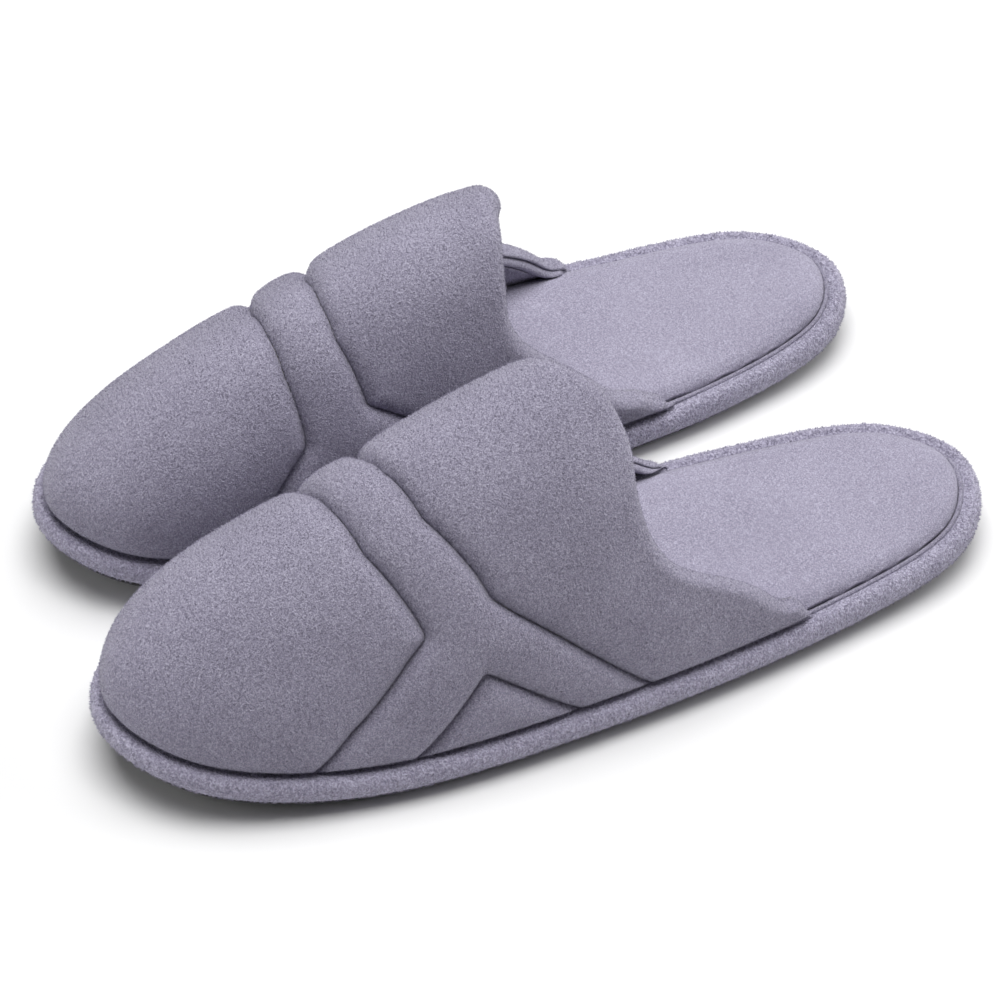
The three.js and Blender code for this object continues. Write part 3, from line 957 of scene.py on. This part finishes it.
def upperPuff(sheet, seed):
    # the padding's own bulges, worked out on a coarse sheet and read off on the fine one
    coarse = Upper(cloth["along"], cloth["climb"])
    outward = coarse.normal.reshape(-1, 3)
    base = coarse.points.reshape(-1, 3)
    outer = base + outward * (standsOut(coarse.edge) - 1.0)[:, None]
    inner = base - outward * upper["padding"]
    faces = trianglesOf(coarse.rows, coarse.columns)
    points, shell = closedBody(outer, inner, faces)
    held = np.concatenate([1 - smooth(np.minimum(coarse.edge, coarse.rim), 1.5, 6.0), np.ones(len(inner))])
    moved = puffUp(points, shell, held, seed, cloth)[:len(outer)]
    out = (moved * outward).sum(1).reshape(coarse.rows, coarse.columns)
    out = spreadOut(spreadOut(out - np.median(out[out != 0]), 9), 9) * cloth["share"]
    rows = np.linspace(0, coarse.rows - 1, sheet.rows)
    columns = np.minimum(np.arange(sheet.columns) / (sheet.main - 1), 1) * (coarse.columns - 1)
    return readOff(out, coarse.rows, coarse.columns, rows, columns)


sheet = Upper(upper["along"], upper["climb"], upper["lip"])
print("upper sheet", sheet.rows * sheet.columns, "points")


def panelFields(sheet):
    toe, vamp = sheet.seams["toe"], sheet.seams["vamp"]
    outer, inner = sheet.seams["outerGusset"], sheet.seams["innerGusset"]
    return {
        "toe_cap": -toe,
        "cross_band": np.minimum.reduce([toe, -vamp, -outer, -inner]),
        "vamp": vamp,
        "outer_gusset": outer,
        "inner_gusset": inner,
    }


def makePanels(side, seed):
    flat = sheet.points.reshape(-1, 3)
    outward = sheet.normal.reshape(-1, 3)
    bulge = upperPuff(sheet, seed) * smooth(sheet.edge, 0.5, 6.0) * smooth(sheet.rim, 0, 8.0)
    bulge[np.arange(len(bulge)) % sheet.columns >= sheet.main] = 0
    face = flat + outward * (standsOut(sheet.edge) + bulge)[:, None]
    faces = trianglesOf(sheet.rows, sheet.columns)
    taper = np.repeat(sheet.taper, sheet.columns)
    for name, field in panelFields(sheet).items():
        extras = np.column_stack([outward, sheet.edge, bulge, taper])
        points, kept, extras, cut = cutAway(flat, faces, field - upper["seamWidth"] / 2, extras)
        way = unit(extras[:, :3])
        edge = np.where(cut, upper["seamWidth"] / 2, extras[:, 3])
        outer = points + way * (standsOut(edge) + extras[:, 4])[:, None]
        inner = outer - way * upper["thickness"] * extras[:, 5:]
        body, shell = closedBody(outer, inner, kept)
        panel = makePiece(name, body, shell, side, "fleece", [name])
        growNap(name, outer, kept, side, "nap")
    return face


def layerOf(step, outerDepth, innerDepth, face, trim=0):
    # a closed layer behind the panels, between two depths, kept clear of its edges by the trim
    last, top = sheet.rows - 1 - trim * 2, sheet.main - 1
    rows = np.unique(np.append(np.arange(trim * 2, last, step), last))
    columns = np.unique(np.append(np.arange(trim, top, step), top))
    pick = (rows[:, None] * sheet.columns + columns[None, :]).ravel()
    outward = sheet.normal.reshape(-1, 3)[pick]
    outer = face[pick] - outward * outerDepth[pick][:, None]
    inner = face[pick] - outward * innerDepth[pick][:, None]
    return closedBody(outer, inner, trianglesOf(len(rows), len(columns)))


def makeUpperLayers(side, face):
    plain = sheet.points.reshape(-1, 3)
    stands = ((face - plain) * sheet.normal.reshape(-1, 3)).sum(1)
    height = plain[:, 2] - np.repeat(sheet.points[:, 0, 2], sheet.columns)
    depth = 0.4 + 3.6 * smooth(height, 0, 14.0)
    taper = np.repeat(sheet.taper, sheet.columns)
    liningAt = (upper["thickness"] + 1.4 + depth) * taper
    top = stands + 4.1 * taper
    points, faces = layerOf(3, top, np.maximum(top + 0.3 * taper, stands + liningAt - 0.4 * taper), face, 16)
    makePiece("upper_foam", points, faces, side, "cushion", ["upper_foam"])
    points, faces = layerOf(2, stands + liningAt, stands + liningAt + lining["thickness"] * taper, face)
    seen = lipOfLining(points, faces)
    growNap("upper_lining", points, seen, side, "nap", 0.9)
    makePiece("upper_lining", points, faces, side, "lining", ["upper_lining"])


def lipOfLining(points, faces):
    # the inner faces that can be seen through the foot opening
    half = len(points) // 2
    near = points[:, 1] > -34
    return [f for f in faces if len(f) == 3 and min(f) >= half and near[f].all()]


# Collar: the lining's bead inside the turned edge of the vamp
collar = {"around": 16, "radius": 1.9, "depth": 5.6, "rise": 1.5}


def ringTube(rings):
    # a tube through rings stored (stations, around); ends closed on their middles
    count, size = rings.shape[:2]
    points = np.concatenate([rings.reshape(-1, 3), [rings[0].mean(0), rings[-1].mean(0)]])
    index = np.arange(count * size).reshape(count, size)
    a, b = index[:-1], index[1:]
    quads = np.stack([a, b, np.roll(b, -1, axis=1), np.roll(a, -1, axis=1)], axis=-1).reshape(-1, 4)
    ends = []
    for k in range(size):
        n = (k + 1) % size
        ends.append([count * size, index[0, k], index[0, n]])
        ends.append([count * size + 1, index[-1, n], index[-1, k]])
    return points, quads.tolist(), ends


def makeCollar(side):
    base = sheet.points[:, sheet.main - 1]
    out = sheet.normal[:, sheet.main - 1]
    climb = sheet.climbWay
    size = sheet.taper[:, None]
    middle = base - out * collar["depth"] * size + climb * collar["rise"] * size
    rings = []
    for a in np.arange(collar["around"]) / collar["around"] * 2 * math.pi:
        rings.append(middle + (out * math.cos(a) + climb * math.sin(a)) * collar["radius"] * size)
    points, quads, ends = ringTube(np.stack(rings, axis=1))
    growNap("collar_binding", points, quads, side, "nap")
    makePiece("collar_binding", points, quads + ends, side, "lining", ["collar_binding"])


# Insole: a fabric cap over a foam cushion
insole = {
    "napFrom": -45.0,
    "inset": 7.1,
    "share": 0.5,
    "rows": 170,
    "columns": 72,
    "shoulder": [(0.0, 0.0), (0.25, 0.24), (1.0, 0.46), (2.6, 0.68), (5.5, 0.86), (11.0, 0.97), (18.0, 1.0)],
    "clothRows": 54,
    "clothColumns": 22,
    "pressure": 2.5,
    "cap": 1.4,
    "frames": 16,
    "slack": 0.015,
    "cover": 1.3,
    "seed": 31,
}


class Bed:
    # a domed bed inside the outline: rows along the foot, columns across
    def __init__(self, inset, rows, columns):
        loop = edgePoints(np.arange(1440) / 1440, inset, 0)
        y = loop[:, 1]
        low, high = y.min() + 0.01, y.max() - 0.01
        self.rows, self.columns = rows, columns
        share = (1 - np.cos(np.linspace(0, math.pi, rows))) / 2
        along = low + (high - low) * (share * 0.75 + np.linspace(0, 1, rows) * 0.25)
        ends = []
        for sign in (-1, 1):
            half = loop[loop[:, 0] * sign >= 0]
            half = half[np.argsort(half[:, 1])]
            ends.append(np.interp(along, half[:, 1], half[:, 0]))
        across = (1 - np.cos(np.linspace(0, math.pi, columns))) / 2 * 0.7 + np.linspace(0, 1, columns) * 0.3
        x = ends[0][:, None] * (1 - across) + ends[1][:, None] * across
        self.plan = np.stack([x, np.repeat(along[:, None], columns, axis=1)], axis=-1).reshape(-1, 2)
        gap = np.full(len(self.plan), 1e9)
        for start in range(0, len(self.plan), 4000):
            part = self.plan[start:start + 4000]
            gap[start:start + 4000] = np.linalg.norm(part[:, None] - loop[None, ::2, :2], axis=2).min(1)
        self.inward = gap

    def dome(self, base, rise):
        steps = np.array(insole["shoulder"])
        share = np.interp(self.inward, steps[:, 0], steps[:, 1])
        height = base + rise * share + springAt(self.plan[:, 1])
        return np.column_stack([self.plan, height])

    def floor(self, base):
        return np.column_stack([self.plan, base + springAt(self.plan[:, 1])])

    def faces(self):
        return trianglesOf(self.rows, self.columns)[:, ::-1]


def readOff(values, rows, columns, fineRows, fineColumns):
    # values on a coarse grid, read at the positions given in coarse rows and columns
    values = values.reshape(rows, columns)
    r, c = np.floor(fineRows).astype(int), np.floor(fineColumns).astype(int)
    r1, c1 = np.minimum(r + 1, rows - 1), np.minimum(c + 1, columns - 1)
    fr, fc = (fineRows - r)[:, None], (fineColumns - c)[None, :]
    top = values[np.ix_(r, c)] * (1 - fc) + values[np.ix_(r, c1)] * fc
    low = values[np.ix_(r1, c)] * (1 - fc) + values[np.ix_(r1, c1)] * fc
    return (top * (1 - fr) + low * fr).ravel()


def insolePuff(bed, seed):
    coarse = Bed(insole["inset"], insole["clothRows"], insole["clothColumns"])
    points, faces = closedBody(
        coarse.dome(stack["seam"], stack["insoleRise"]), coarse.floor(stack["seam"] - 6), coarse.faces(),
    )
    count = coarse.rows * coarse.columns
    held = np.concatenate([1 - smooth(coarse.inward, 0.5, 4.0), np.ones(count)])
    lift = puffUp(points, faces, held, seed, insole)[:count, 2]
    lift = spreadOut(spreadOut((lift - np.median(lift)).reshape(coarse.rows, -1), 9), 9) * insole["share"]
    return readOff(
        lift, coarse.rows, coarse.columns, np.linspace(0, coarse.rows - 1, bed.rows),
        np.linspace(0, coarse.columns - 1, bed.columns),
    )


def makeInsole(side, seed):
    base, rise = stack["seam"], stack["insoleRise"]
    bed = Bed(insole["inset"], insole["rows"], insole["columns"])
    top = bed.dome(base, rise)
    # soft hollows left by the stuffing, under a skin that is held at the edge
    lumps = np.array([noise.noise(Vector((x / 26, y / 34, seed))) for x, y in bed.plan])
    top[:, 2] += (insolePuff(bed, seed) + lumps * 0.6) * smooth(bed.inward, 0.5, 5.0)
    under = top - [0, 0, insole["cover"]]
    under[:, 2] = np.maximum(under[:, 2], stack["boardTop"] + 0.1 + springAt(under[:, 1]))
    points, faces = closedBody(top, under, bed.faces())
    seen = [f for f in bed.faces().tolist() if top[f, 1].min() > insole["napFrom"]]
    growNap("insole_cover", top, seen, side, "insoleNap", 0.85)
    cover = makePiece("insole_cover", points, faces, side, "insole", ["insole_cover"])
    core = Bed(stack["insoleInset"] + 2.2, 90, 36)
    points, faces = closedBody(core.dome(base - 0.3, rise - 2.6), core.floor(base - 0.5), core.faces())
    makePiece("insole_foam", points, faces, side, "cushion", ["insole_foam"])


piping = {"radius": 0.7, "inset": 6.15, "sections": 10, "around": 360}


def makePiping(side):
    t = np.arange(1440) / 1440
    ring = edgePoints(t, piping["inset"], stack["seam"] - piping["radius"] * 0.2)
    outer = ring[(ring[:, 0] > 0) & (ring[:, 1] > rimLine[0][0] - 4)]
    inner = ring[(ring[:, 0] <= 0) & (ring[:, 1] > rimLine[-1][0] - 4)]
    path = np.concatenate([outer[np.argsort(outer[:, 1])], inner[np.argsort(-inner[:, 1])]])
    path = evenly(path, piping["around"])
    along = unit(np.gradient(path, axis=0))
    across = unit(np.cross(along, [0, 0, 1]))
    over = np.cross(across, along)
    size = piping["sections"]
    rings = [
        path + (across * math.cos(a) + over * math.sin(a)) * piping["radius"]
        for a in np.arange(size) / size * 2 * math.pi
    ]
    points = np.stack(rings, axis=1)
    index = np.arange(len(path) * size).reshape(len(path), size)
    a, b = index[:-1], index[1:]
    quads = np.stack([a, b, np.roll(b, -1, axis=1), np.roll(a, -1, axis=1)], axis=-1).reshape(-1, 4)
    caps = [list(range(size)), list(range(index[-1, 0], index[-1, 0] + size))[::-1]]
    growNap("insole_piping", points.reshape(-1, 3), quads.tolist(), side, "nap", 0.9)
    makePiece(
        "insole_piping", points.reshape(-1, 3), quads.tolist() + caps, side, "lining",
        ["insole_piping"],
    )


# Both slippers
for number, side in enumerate(sides):
    makeSole(side)
    makeWrap(side)
    face = makePanels(side, cloth["seed"] + number)
    makeUpperLayers(side, face)
    makeCollar(side)
    makeInsole(side, insole["seed"] + number)
    makePiping(side)
    print(side, "slipper made:", sum(counts.values()), "triangles, largest piece", max(counts.values()))


# Floor and light
studio = {"world": 0.06, "key": 49.0, "toe": 6.5, "heel": 14.0}


def makeStudio():
    mesh = bpy.data.meshes.new("floor")
    reach = 6.0
    corners = [(-reach, -reach, 0), (reach, -reach, 0), (reach, reach, 0), (-reach, reach, 0)]
    mesh.from_pydata(corners, [], [(0, 1, 2, 3)])
    floor = bpy.data.objects.new("floor", mesh)
    scene.collection.objects.link(floor)
    paper = Finish("paper floor")
    tint = paper.blendColours(paper.grain(3.0), (0.85, 0.85, 0.85, 1), (0.87, 0.87, 0.87, 1))
    mesh.materials.append(paper.put(Base_Color=tint, Roughness=0.9, Specular_IOR_Level=0.1))
    world = bpy.data.worlds.new("studio")
    world.use_nodes = True
    world.node_tree.nodes["Background"].inputs["Color"].default_value = (1, 1, 1, 1)
    world.node_tree.nodes["Background"].inputs["Strength"].default_value = studio["world"]
    scene.world = world
    for name, place, size, power in (
        ("key", (-0.28, 0.05, 1.9), 1.8, studio["key"]),
        ("toe light", (-0.35, -1.7, 0.75), 1.3, studio["toe"]),
        ("heel light", (0.25, 1.7, 0.85), 1.3, studio["heel"]),
    ):
        lamp = bpy.data.lights.new(name, "AREA")
        lamp.size = size
        lamp.energy = power
        holder = bpy.data.objects.new(name, lamp)
        holder.location = place
        holder.rotation_euler = (-Vector(place)).to_track_quat("-Z", "Y").to_euler()
        scene.collection.objects.link(holder)
    scene.view_settings.view_transform = "Standard"


makeStudio()
print("scene ready")
